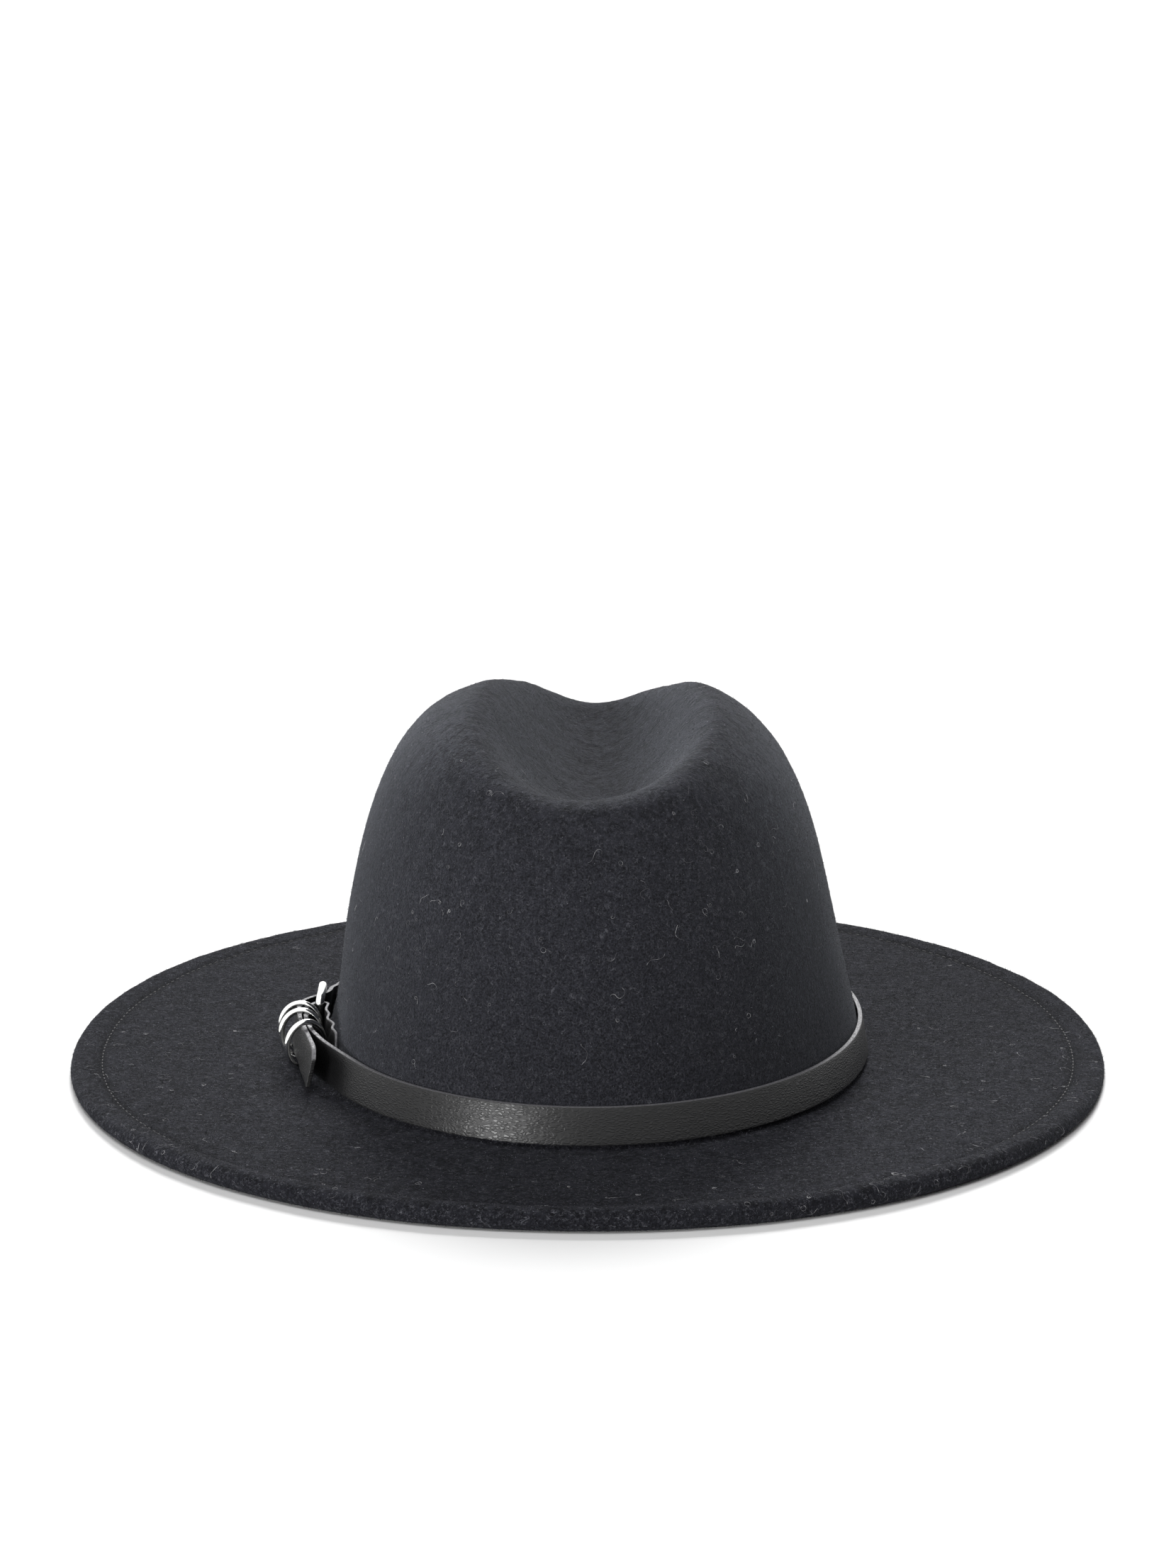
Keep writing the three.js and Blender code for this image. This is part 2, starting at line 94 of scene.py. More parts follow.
# %% [markdown]
# ## Floor and light
#
# A product photo like this has a white table and white walls, and soft lamps. Where the felt is
# light and where it is dark tells where they stand: one high behind the hat lights the top of
# the crown and throws its soft shade on the near brim, and one is high above the camera. A low
# one left of the camera lights the wall and makes the gloss on the strap. Area lamps would light
# the table unevenly, so each lamp is a sun with a wide disc, which is just as soft. The white
# room is weak as a light, but the polished wire has to mirror something bright, so rays off a
# gloss see it whiter.

# %% Floor and light
FLOOR_SIZE = 30.0
FLOOR_WHITE = (0.93, 0.93, 0.93, 1)
FLOOR_ROUGHNESS = 0.9
ROOM_WHITE = (1, 1, 1, 1)
ROOM_LIGHT = 0.10
ROOM_IN_GLOSS = 1.25
LAMPS = [
    {"name": "lamp_behind", "azimuth": 177, "height": 38, "energy": 3.25, "disc": 20},
    {"name": "lamp_high_near", "azimuth": 345, "height": 70, "energy": 1.25, "disc": 35},
    {"name": "lamp_low_left", "azimuth": 317, "height": 8, "energy": 2.50, "disc": 22},
]

floor_shape = bmesh.new()
bmesh.ops.create_grid(floor_shape, x_segments=2, y_segments=2, size=FLOOR_SIZE / 2)
floor_mesh = bpy.data.meshes.new("floor")
floor_shape.to_mesh(floor_mesh)
floor_shape.free()
floor = bpy.data.objects.new("floor", floor_mesh)
bpy.context.scene.collection.objects.link(floor)

floor_material = bpy.data.materials.new("floor_paint")
floor_material.use_nodes = True
floor_shader = floor_material.node_tree.nodes["Principled BSDF"]
floor_shader.inputs["Base Color"].default_value = FLOOR_WHITE
floor_shader.inputs["Roughness"].default_value = FLOOR_ROUGHNESS
floor_mesh.materials.append(floor_material)

world = bpy.data.worlds.new("white_room")
world.use_nodes = True
room = world.node_tree
room_light = room.nodes["Background"]
room_light.inputs["Color"].default_value = ROOM_WHITE
ray = room.nodes.new("ShaderNodeLightPath")
strength = room.nodes.new("ShaderNodeMapRange")
strength.inputs["To Min"].default_value = ROOM_LIGHT
strength.inputs["To Max"].default_value = ROOM_IN_GLOSS
room.links.new(ray.outputs["Is Glossy Ray"], strength.inputs["Value"])
room.links.new(strength.outputs["Result"], room_light.inputs["Strength"])
bpy.context.scene.world = world
bpy.context.scene.view_settings.view_transform = "Standard"


# Azimuth 0 is the camera's side and 270 the wearer's left, the side of the buckle.
def soft_sun(name, azimuth, height, energy, disc):
    data = bpy.data.lights.new(name, "SUN")
    data.energy = energy
    data.angle = math.radians(disc)
    lamp = bpy.data.objects.new(name, data)
    turn, up = math.radians(azimuth), math.radians(height)
    towards = Vector((math.sin(turn) * math.cos(up), -math.cos(turn) * math.cos(up), math.sin(up)))
    lamp.rotation_euler = towards.to_track_quat("Z", "Y").to_euler()
    bpy.context.scene.collection.objects.link(lamp)


for row in LAMPS:
    soft_sun(**row)
print("lamps:", [row["name"] for row in LAMPS])

# %% [markdown]
# ## Refining a solid
#
# The solids are faceted, and each arrives as loose triangles. A copy is merged, its triangles
# are paired into quads, and a subdivision surface rounds it. Subdivision pulls a round wire
# in a little, so a piece can first be swollen along its normals by as much as it will lose.

# %% Helpers for refining
MERGE_WITHIN = 0.002 * MM
PAIR_ANGLE = math.radians(70)


def merged_copy(node):
    shape = bmesh.new()
    shape.from_mesh(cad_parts[node].data)
    bmesh.ops.remove_doubles(shape, verts=shape.verts, dist=MERGE_WITHIN)
    bmesh.ops.join_triangles(shape, faces=shape.faces, angle_face_threshold=PAIR_ANGLE,
                             angle_shape_threshold=PAIR_ANGLE)
    shape.normal_update()
    return shape


def swell(shape, amount):
    moves = [(v, v.normal * amount) for v in shape.verts]
    for v, move in moves:
        v.co += move


def object_from(shape, name):
    mesh = bpy.data.meshes.new(name)
    shape.to_mesh(mesh)
    shape.free()
    mesh.shade_smooth()
    made = bpy.data.objects.new(name, mesh)
    bpy.context.scene.collection.objects.link(made)
    return made


def round_off(piece, levels):
    modifier = piece.modifiers.new("rounding", "SUBSURF")
    modifier.levels = levels
    modifier.render_levels = levels


# A piece as its modifiers leave it.
def evaluated(piece):
    return piece.evaluated_get(bpy.context.evaluated_depsgraph_get())


# Replaces a piece's mesh by what its modifiers make of it.
def settle(piece):
    mesh = bpy.data.meshes.new_from_object(evaluated(piece))
    piece.modifiers.clear()
    piece.data = mesh


def count_triangles(piece):
    return sum(len(p.vertices) - 2 for p in evaluated(piece).data.polygons)


# How far a value has come from low to high, from 0 to 1.
def share_between(value, low, high):
    return min(max((value - low) / (high - low), 0), 1)


# %% [markdown]
# ## Shared effects
#
# Several finishes need the same few effects, so each effect is a node group with named
# sockets. `thin_lines` draws curly threads: the places where a noise passes through its middle
# value are thin winding lines, and a second noise breaks them into short strands. `mottle`
# gives the cloudy light and dark of a fibrous surface.

# %% Group helpers


def new_group(name, inputs, outputs):
    group = bpy.data.node_groups.new(name, "ShaderNodeTree")
    for label, kind in inputs:
        group.interface.new_socket(label, in_out="INPUT", socket_type=kind)
    for label, kind in outputs:
        group.interface.new_socket(label, in_out="OUTPUT", socket_type=kind)
    start = group.nodes.new("NodeGroupInput")
    end = group.nodes.new("NodeGroupOutput")
    return group, start, end


# Adds a node, sets its properties, and fills its inputs from values or from other sockets.
def add_node(tree, kind, settings=None, **inputs):
    node = tree.nodes.new(kind)
    for label, value in (settings or {}).items():
        setattr(node, label, value)
    for label, value in inputs.items():
        key = int(label[1:]) if label[1:].isdigit() else label.replace("_", " ")
        if isinstance(value, bpy.types.NodeSocket):
            tree.links.new(value, node.inputs[key])
        else:
            node.inputs[key].default_value = value
    return node


def math_node(tree, operation, *values, clamp=False):
    inputs = {f"i{i}": value for i, value in enumerate(values)}
    settings = {"operation": operation, "use_clamp": clamp}
    return add_node(tree, "ShaderNodeMath", settings, **inputs).outputs[0]


def vector_node(tree, operation, first, second):
    settings = {"operation": operation}
    return add_node(tree, "ShaderNodeVectorMath", settings, i0=first, i1=second).outputs[0]


def ramp_between(tree, value, low, high, low_out=0.0, high_out=1.0):
    node = add_node(tree, "ShaderNodeMapRange", {"interpolation_type": "SMOOTHSTEP"}, Value=value)
    node.inputs["From Min"].default_value = low
    node.inputs["From Max"].default_value = high
    node.inputs["To Min"].default_value = low_out
    node.inputs["To Max"].default_value = high_out
    return node.outputs["Result"]


# %% Thin lines and mottle
LINE_CURL = 0.8
BREAKS_SCALE = 0.7
BREAKS_OFFSET = (3.1, 1.7, 5.3)
BREAKS_FROM, BREAKS_TO = 0.52, 0.64
MOTTLE_FROM, MOTTLE_TO = 0.3, 0.7


def make_thin_lines():
    group, start, end = new_group(
        "thin_lines",
        [("Vector", "NodeSocketVector"), ("Scale", "NodeSocketFloat"),
         ("Width", "NodeSocketFloat")],
        [("Mask", "NodeSocketFloat")])
    vector, scale, width = start.outputs[0], start.outputs[1], start.outputs[2]
    winding = add_node(group, "ShaderNodeTexNoise", Vector=vector, Scale=scale, Detail=1.0,
                       Distortion=LINE_CURL)
    away = math_node(group, "ABSOLUTE", math_node(group, "SUBTRACT", winding.outputs[0], 0.5))
    near = math_node(group, "SUBTRACT", 1.0, math_node(group, "DIVIDE", away, width), clamp=True)
    wider = math_node(group, "MULTIPLY", scale, BREAKS_SCALE)
    moved = vector_node(group, "ADD", vector, BREAKS_OFFSET)
    breaks = add_node(group, "ShaderNodeTexNoise", Vector=moved, Scale=wider, Detail=0.0)
    kept = ramp_between(group, breaks.outputs[0], BREAKS_FROM, BREAKS_TO)
    group.links.new(math_node(group, "MULTIPLY", near, kept), end.inputs[0])
    return group


def make_mottle():
    group, start, end = new_group(
        "mottle",
        [("Vector", "NodeSocketVector"), ("Scale", "NodeSocketFloat")],
        [("Value", "NodeSocketFloat")])
    cloud = add_node(group, "ShaderNodeTexNoise", Vector=start.outputs[0], Scale=start.outputs[1],
                     Detail=4.0, Roughness=0.65)
    parted = ramp_between(group, cloud.outputs[0], MOTTLE_FROM, MOTTLE_TO)
    group.links.new(parted, end.inputs[0])
    return group


thin_lines = make_thin_lines()
mottle = make_mottle()


def use_group(tree, group, **inputs):
    return add_node(tree, "ShaderNodeGroup", {"node_tree": group}, **inputs).outputs[0]


def mixed_colour(tree, factor, first, second):
    node = tree.nodes.new("ShaderNodeMix")
    node.data_type = "RGBA"
    for index, value in ((0, factor), (6, first), (7, second)):
        if isinstance(value, bpy.types.NodeSocket):
            tree.links.new(value, node.inputs[index])
        else:
            node.inputs[index].default_value = value
    return node.outputs[2]


# A new material with its node tree, its shader and the object's own coordinates.
def new_material(name):
    material = bpy.data.materials.new(name)
    material.use_nodes = True
    tree = material.node_tree
    place = add_node(tree, "ShaderNodeTexCoord").outputs["Object"]
    return material, tree, tree.nodes["Principled BSDF"], place


def bumped(tree, shader, height, strength, distance):
    bump = add_node(tree, "ShaderNodeBump", Strength=strength, Distance=distance, Height=height)
    tree.links.new(bump.outputs[0], shader.inputs["Normal"])


print("node groups:", [g.name for g in bpy.data.node_groups])

# %% [markdown]
# ## Felt
#
# Wool felt has no weave. It is a mat of tangled fibres, so up close it is a fine light and dark
# mottle with pale fibre ends lying on it, and towards the silhouette those ends catch the light
# and the edge turns paler. The mottle and fibres are noise on Object coordinates, which are
# metres here, so a scale of 1000 is a pattern of a millimetre. The pale rim is the shader's
# sheen, made for just such fuzz. The stitched groove of the hem is painted darker, painted shade
# in the recess: an attribute on the mesh says where. A second attribute says how flat the felt
# lies. The brim and the scoop are seen at a low angle, and there the mottle has to be coarser to
# be seen at all. The brim's felt is a darker copy of the crown's, painted shade that keeps the
# lamp-lit brim from turning brighter than the wall, and it has less sheen. One function makes
# both.

# %% Felt material
FELT_DARK = (0.0040, 0.0041, 0.0051, 1)
FELT_LIGHT = (0.0325, 0.0332, 0.0415, 1)
FIBRE_PALE = (0.130, 0.132, 0.150, 1)

# The scales are in noise cells to the metre, and a width is a share of the noise's range.
FINE_SCALE, TUFT_SCALE, LUMP_SCALE = 1900.0, 520.0, 170.0
SHORT_SCALE, SHORT_WIDTH, SHORT_SHARE = 1500.0, 0.07, 0.6
LONG_SCALE, LONG_WIDTH = 620.0, 0.026

# How much of each pattern goes into the colour and into the height of the bump.
TUFT_SHARE, LUMP_SHARE = 0.60, 0.40
COARSE_STANDING, COARSE_MORE_LYING = 0.12, 0.55
# The hem's groove is painted darker by this share: painted shade in the recess.
GROOVE_SHADE_SHARE = 0.65
FELT_ROUGH, FELT_SMOOTH = 0.98, 0.86
LUMP_STANDING, LUMP_MORE_LYING = 0.2, 1.6
TUFT_HEIGHT, FIBRE_HEIGHT = 0.9, 0.8
FELT_BUMP, FELT_BUMP_DEPTH = 0.6, 0.28 * MM
SHEEN_ROUGHNESS = 0.36
SHEEN_TINT = (0.84, 0.90, 1.0, 1)


def make_felt(name, fibre_share, shade, sheen, gloss):
    material, tree, shader, place = new_material(name)
    fine = use_group(tree, mottle, Vector=place, Scale=FINE_SCALE)
    tufts = use_group(tree, mottle, Vector=place, Scale=TUFT_SCALE)
    lumps = use_group(tree, mottle, Vector=place, Scale=LUMP_SCALE)
    lying = add_node(tree, "ShaderNodeAttribute", {"attribute_name": "lying"}).outputs["Fac"]
    some = math_node(tree, "MULTIPLY", tufts, TUFT_SHARE)
    mixed = math_node(tree, "MULTIPLY_ADD", lumps, LUMP_SHARE, some)
    coarse = ramp_between(tree, mixed, 0.2, 0.8)
    share = math_node(tree, "MULTIPLY_ADD", lying, COARSE_MORE_LYING, COARSE_STANDING)
    apart = math_node(tree, "SUBTRACT", coarse, fine)
    cloudy = math_node(tree, "MULTIPLY_ADD", apart, share, fine)
    # shade scales the mottle's lightness; the brim's lower value is painted shade.
    ground = mixed_colour(tree, math_node(tree, "MULTIPLY", cloudy, shade), FELT_DARK, FELT_LIGHT)
    short = use_group(tree, thin_lines, Vector=place, Scale=SHORT_SCALE, Width=SHORT_WIDTH)
    long = use_group(tree, thin_lines, Vector=place, Scale=LONG_SCALE, Width=LONG_WIDTH)
    fainter = math_node(tree, "MULTIPLY", short, SHORT_SHARE)
    fibres = math_node(tree, "MAXIMUM", fainter, long)
    shown = math_node(tree, "MULTIPLY", fibres, fibre_share)
    # This attribute marks the hem's groove, where the colour is painted darker as painted shade.
    groove_shade = add_node(tree, "ShaderNodeAttribute", {"attribute_name": "groove_shade"}).outputs["Fac"]
    fluffy = mixed_colour(tree, shown, ground, FIBRE_PALE)
    darker = math_node(tree, "MULTIPLY", groove_shade, GROOVE_SHADE_SHARE)
    colour = mixed_colour(tree, darker, fluffy, FELT_DARK)
    tree.links.new(colour, shader.inputs["Base Color"])
    rough = ramp_between(tree, fine, 0.0, 1.0, FELT_ROUGH, FELT_SMOOTH)
    tree.links.new(rough, shader.inputs["Roughness"])
    lump_height = math_node(tree, "MULTIPLY_ADD", lying, LUMP_MORE_LYING, LUMP_STANDING)
    uneven = math_node(tree, "MULTIPLY", lumps, lump_height)
    base = math_node(tree, "ADD", fine, uneven)
    tangle = math_node(tree, "MULTIPLY_ADD", tufts, TUFT_HEIGHT, base)
    height = math_node(tree, "MULTIPLY_ADD", fibres, FIBRE_HEIGHT, tangle)
    bumped(tree, shader, height, FELT_BUMP, FELT_BUMP_DEPTH)
    shader.inputs["Specular IOR Level"].default_value = gloss
    shader.inputs["Sheen Weight"].default_value = sheen
    shader.inputs["Sheen Roughness"].default_value = SHEEN_ROUGHNESS
    shader.inputs["Sheen Tint"].default_value = SHEEN_TINT
    return material


crown_felt = make_felt("crown_felt", fibre_share=0.5, shade=0.95, sheen=0.15, gloss=0.12)
# The brim's copy is darker: painted shade that keeps the lamp-lit brim from looking brighter than
# the wall.
shaded_brim_felt = make_felt("shaded_brim_felt", fibre_share=0.8, shade=0.74, sheen=0.025, gloss=0.06)
print("felt nodes:", len(crown_felt.node_tree.nodes))

# %% [markdown]
# ## The felt cap
#
# The real cap is one piece of felt, steamed over a block and creased by hand, so its surface
# swells and dips very slightly. The cap could be sculpted, but three noises are enough: a broad
# one moves the felt by a few tenths of a millimetre, a middle one makes soft lumps where the
# felt lies flat, and a fine one roughens it. All fade out near the table, so the hem still lies
# flat. The brim and the crown take their own felt.

# %% Felt cap
BRIM_HALF = Vector((cad_high.x, cad_high.y))
BRIM_POWER = 2.07
GROOVE_INSET = 10 * MM
GROOVE_HALF = 1.8 * MM
SWELL_BROAD = 0.35 * MM
SWELL_LUMPS = 0.16 * MM
SWELL_FINE = 0.07 * MM
BROAD_NOISE, LUMP_NOISE, FINE_NOISE = 28, 150, 420
STILL_BELOW = 3 * MM
LYING_FROM = 0.25
LYING_ALL = 0.85
CROWN_FOOT = 5.5 * MM
HEM_REACH = 30 * MM


# How far a place lies inside the brim's edge, seen from above.
def inset_from_edge(x, y):
    across, along = abs(x / BRIM_HALF.x), abs(y / BRIM_HALF.y)
    share = (across ** BRIM_POWER + along ** BRIM_POWER) ** (1 / BRIM_POWER)
    return math.hypot(x, y) * (1 / max(share, 1e-6) - 1)


# The brim is low, but the roll of its back edge stands higher than the crown's foot.
def on_brim(place):
    return place.z < CROWN_FOOT or inset_from_edge(place.x, place.y) < HEM_REACH


felt_cap = object_from(merged_copy("felt_body"), "felt_cap")
round_off(felt_cap, 2)
settle(felt_cap)

groove_shade = felt_cap.data.attributes.new("groove_shade", "FLOAT", "POINT")
lying = felt_cap.data.attributes.new("lying", "FLOAT", "POINT")
normals = [v.normal.copy() for v in felt_cap.data.vertices]
for v, normal in zip(felt_cap.data.vertices, normals):
    p = v.co.copy()
    lifted = share_between(p.z, 0, STILL_BELOW)
    flat = share_between(normal.z, LYING_FROM, LYING_ALL)
    broad = noise.noise(p * BROAD_NOISE) * SWELL_BROAD
    lumps = noise.noise(p * LUMP_NOISE) * SWELL_LUMPS * flat
    rough = noise.noise(p * FINE_NOISE) * SWELL_FINE
    v.co = p + normal * (broad + lumps + rough) * lifted
    lying.data[v.index].value = flat
    # Painted shade: along the hem's groove the felt is painted darker, fading to each side.
    off = (inset_from_edge(p.x, p.y) - GROOVE_INSET) / GROOVE_HALF
    groove_shade.data[v.index].value = math.exp(-off * off)

felt_cap.data.materials.clear()
felt_cap.data.materials.append(crown_felt)
felt_cap.data.materials.append(shaded_brim_felt)
# The brim takes the darker copy of the felt, which carries painted shade.
for face in felt_cap.data.polygons:
    face.material_index = 1 if on_brim(face.center) else 0
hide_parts("felt_body")
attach(felt_cap, "root")
print("felt cap triangles:", count_triangles(felt_cap))

# %% [markdown]
# ## The nap
#
# Real fibres stand out from the felt. They show along the silhouette, and on the brim, which is
# seen so flat that a surface pattern would be squeezed away. Tens of thousands of hairs are too
# many to place one by one, so Geometry Nodes scatters them: points on the faces, a thin
# three-sided spike on each point, turned to the surface's normal and then leaned over by a
# random angle. The crown and the brim's halves each get their own nap, on the outer side alone.
# Most hairs are as dark as the felt, and a few are nearly white.

# %% Nap of short hairs
NAP_HAIRS = 48000
NAP_LENGTH = 0.75 * MM
NAP_WIDTH = 0.042 * MM
NAP_LEAN = 1.3
NAP_TURN = 6.28
NAP_SHORTEST, NAP_LONGEST = 0.35, 1.3
NAP_LOWEST = 0.02 * MM
NAP_LOOKS_OUT = 0.2
NAP_LOOKS_UP = 0.03
NAP_SEEDS = {"crown": 4, "brim_back": 9, "brim_front": 15}


def make_spike():
    shape = bmesh.new()
    lift = Matrix.Translation((0, 0, 0.5))
    bmesh.ops.create_cone(shape, cap_ends=True, segments=3, radius1=NAP_WIDTH / NAP_LENGTH,
                          radius2=0.0, depth=1.0, matrix=lift)
    bmesh.ops.remove_doubles(shape, verts=shape.verts, dist=1e-5)
    return object_from(shape, "nap_spike")


def make_scatter(spike, density, seed):
    tree = bpy.data.node_groups.new("scatter_nap", "GeometryNodeTree")
    tree.interface.new_socket("Geometry", in_out="INPUT", socket_type="NodeSocketGeometry")
    tree.interface.new_socket("Geometry", in_out="OUTPUT", socket_type="NodeSocketGeometry")
    start = tree.nodes.new("NodeGroupInput")
    end = tree.nodes.new("NodeGroupOutput")
    points = add_node(tree, "GeometryNodeDistributePointsOnFaces", Mesh=start.outputs[0],
                      Density=density, Seed=seed)
    hair = add_node(tree, "GeometryNodeObjectInfo", Object=spike)
    lean = add_node(tree, "FunctionNodeRandomValue", {"data_type": "FLOAT_VECTOR"})
    lean.inputs["Min"].default_value = (-NAP_LEAN, -NAP_LEAN, 0.0)
    lean.inputs["Max"].default_value = (NAP_LEAN, NAP_LEAN, NAP_TURN)
    turned = add_node(tree, "FunctionNodeRotateRotation", {"rotation_space": "LOCAL"},
                      Rotation=points.outputs["Rotation"])
    tree.links.new(lean.outputs[0], turned.inputs["Rotate By"])
    size = add_node(tree, "FunctionNodeRandomValue", {"data_type": "FLOAT"})
    size.inputs[2].default_value = NAP_SHORTEST * NAP_LENGTH
    size.inputs[3].default_value = NAP_LONGEST * NAP_LENGTH
    placed = add_node(tree, "GeometryNodeInstanceOnPoints", Points=points.outputs["Points"],
                      Instance=hair.outputs["Geometry"])
    tree.links.new(turned.outputs[0], placed.inputs["Rotation"])
    tree.links.new(size.outputs[1], placed.inputs["Scale"])
    made = add_node(tree, "GeometryNodeRealizeInstances", Geometry=placed.outputs[0])
    tree.links.new(made.outputs[0], end.inputs[0])
    return tree


def looks_outside(place, normal):
    outward = Vector((place.x, place.y, 0)).normalized()
    return normal.z > NAP_LOOKS_UP or normal.dot(outward) > NAP_LOOKS_OUT


def region_of(place):
    if not on_brim(place):
        return "crown"
    return "brim_back" if place.y < 0 else "brim_front"


# The faces of the felt's outer side in one region.
def grows_nap(face, region):
    middle = face.calc_center_median()
    return looks_outside(middle, face.normal) and region_of(middle) == region


def make_nap(region, spike, seed):
    name = region + "_nap"
    shape = bmesh.new()
    shape.from_mesh(felt_cap.data)
    bare = [f for f in shape.faces if not grows_nap(f, region)]
    bmesh.ops.delete(shape, geom=bare, context="FACES")
    area = sum(f.calc_area() for f in shape.faces)
    nap = object_from(shape, name)
    scatter = nap.modifiers.new("scatter", "NODES")
    scatter.node_group = make_scatter(spike, NAP_HAIRS / area, seed)
    settle(nap)
    for v in nap.data.vertices:
        v.co.z = max(v.co.z, NAP_LOWEST)
    print(name, "on square metres:", round(area, 4), "triangles:", count_triangles(nap))
    return nap


spike = make_spike()
naps = [make_nap(region, spike, seed) for region, seed in NAP_SEEDS.items()]
bpy.data.objects.remove(spike)

# %% Nap material
NAP_COLOUR = (0.011, 0.0112, 0.014, 1)
NAP_PALE = (0.50, 0.51, 0.57, 1)
# The brim's hairs are darker than the crown's: painted shade, like the brim's felt.
BRIM_NAP_SHADED = (0.0095, 0.0098, 0.0128, 1)
BRIM_NAP_PALE_SHADED = (0.38, 0.39, 0.46, 1)
NAP_SCALE = 1400.0
PALE_FROM, PALE_ALL = 0.81, 0.97
BRIM_NAP_GLOSS = 0.08
HAIR_ROUGHNESS = 0.7


def make_hair_look(name, dark, pale, scale, low=0.4, high=1.0, gloss=0.3):
    material, tree, shader, place = new_material(name)
    patches = use_group(tree, mottle, Vector=place, Scale=scale)
    colour = mixed_colour(tree, ramp_between(tree, patches, low, high), dark, pale)
    tree.links.new(colour, shader.inputs["Base Color"])
    shader.inputs["Roughness"].default_value = HAIR_ROUGHNESS
    shader.inputs["Specular IOR Level"].default_value = gloss
    return material


crown_hair = make_hair_look("crown_hair", NAP_COLOUR, NAP_PALE, NAP_SCALE, PALE_FROM, PALE_ALL)
# The brim's hair look uses the darker colours, which are painted shade.
shaded_brim_hair = make_hair_look("shaded_brim_hair", BRIM_NAP_SHADED, BRIM_NAP_PALE_SHADED, NAP_SCALE,
                           PALE_FROM, PALE_ALL, gloss=BRIM_NAP_GLOSS)
for nap in naps:
    nap.data.materials.clear()
    nap.data.materials.append(crown_hair if nap.name == "crown_nap" else shaded_brim_hair)
    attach(nap, "root")
print("hair looks:", crown_hair.name, shaded_brim_hair.name)

# %% [markdown]
# ## Lint
#
# A worn hat carries stray curled fibres. Each is a thin curve that walks over the felt: it
# starts at a random place, bends a little at random at every step, and every point is brought
# back to just above the nearest felt. A tree of the felt's faces makes that search quick. A
# first patch covers the whole hat. More lint lies where a hand or a sleeve has brushed: on the
# near and outer parts of the brim, and on the near side of the crown and its top.

# %% Lint
LINT_SEED = 11
LINT_STEP = 0.32 * MM
LINT_RADIUS = 0.036 * MM
LINT_HEIGHT = 0.14 * MM

# Each point's height is LINT_HEIGHT times a number in this range.
LINT_LIFT = (0.6, 1.8)
LINT_POINTS = (6, 26)
LINT_CURL_AT_FIRST = 0.35
LINT_CURL_CHANGE = 0.25
LINT_CURL_MOST = 0.9
LINT_DARK = (0.11, 0.11, 0.12, 1)
LINT_PALE = (0.60, 0.60, 0.62, 1)
LINT_SCALE = 300.0

# The corners of each patch are in millimetres.
LINT_PATCHES = [
    {"low": (-155, -170, 0), "high": (155, 170, 120), "count": 190},
    {"low": (40, -60, 60), "high": (75, -20, 105), "count": 22},
    {"low": (-150, -120, 0), "high": (-100, 20, 10), "count": 60},
    {"low": (-90, -172, 0), "high": (110, -125, 10), "count": 70},
    {"low": (95, -110, 0), "high": (155, 30, 10), "count": 80},
    {"low": (-70, -105, 20), "high": (70, -60, 95), "count": 50},
    {"low": (-40, -75, 85), "high": (40, -20, 118), "count": 30},
]

felt_tree = BVHTree.FromPolygons([v.co for v in felt_cap.data.vertices],
                                 [p.vertices for p in felt_cap.data.polygons])


# The felt nearest to a random place in a box, if that is on the felt's outer side.
def start_on_felt(rand, low, high):
    x, y, z = (rand.uniform(a, b) * MM for a, b in zip(low, high))
    place, normal = felt_tree.find_nearest(Vector((x, y, z)))[:2]
    return (place, normal) if looks_outside(place, normal) else None


def lint_path(rand, place, normal):
    points = []
    across = normal.orthogonal().normalized()
    ahead = Matrix.Rotation(rand.uniform(0, 2 * math.pi), 3, normal) @ across
    curl = rand.uniform(-LINT_CURL_AT_FIRST, LINT_CURL_AT_FIRST)
    for _ in range(rand.randint(*LINT_POINTS)):
        lift = LINT_HEIGHT * rand.uniform(*LINT_LIFT)
        points.append(place + normal * lift)
        curl += rand.uniform(-LINT_CURL_CHANGE, LINT_CURL_CHANGE)
        curl = max(-LINT_CURL_MOST, min(LINT_CURL_MOST, curl))
        ahead = (Matrix.Rotation(curl, 3, normal) @ ahead).normalized()
        place, normal = felt_tree.find_nearest(place + ahead * LINT_STEP)[:2]
        ahead = (ahead - normal * ahead.dot(normal)).normalized()
    return points


def make_lint():
    rand = random.Random(LINT_SEED)
    curve = bpy.data.curves.new("lint_curve", "CURVE")
    curve.dimensions = "3D"
    curve.bevel_depth = LINT_RADIUS
    curve.bevel_resolution = 0
    curve.use_fill_caps = True
    for patch in LINT_PATCHES:
        for _ in range(patch["count"]):
            start = start_on_felt(rand, patch["low"], patch["high"])
            if start is None:
                continue
            points = lint_path(rand, *start)
            spline = curve.splines.new("POLY")
            spline.points.add(len(points) - 1)
            for point, co in zip(spline.points, points):
                point.co = (co.x, co.y, max(co.z, LINT_RADIUS), 1)
    lint = bpy.data.objects.new("lint_curve", curve)
    bpy.context.scene.collection.objects.link(lint)
    return lint


lint_curve = make_lint()
lint_mesh = bpy.data.meshes.new_from_object(evaluated(lint_curve))
bpy.data.objects.remove(lint_curve)
felt_lint = bpy.data.objects.new("felt_lint", lint_mesh)
bpy.context.scene.collection.objects.link(felt_lint)
felt_lint.data.materials.clear()
felt_lint.data.materials.append(make_hair_look("lint_fibres", LINT_DARK, LINT_PALE, LINT_SCALE))
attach(felt_lint, "root")
print("lint triangles:", count_triangles(felt_lint))

# %% [markdown]
# ## Hem stitches
#
# The folded edge is held by one row of machine stitches sunk in the groove. One stitch is a
# small grain of thread. Copies of it are set at equal steps of the groove's length, each turned
# along the groove, and dropped onto the felt from above.

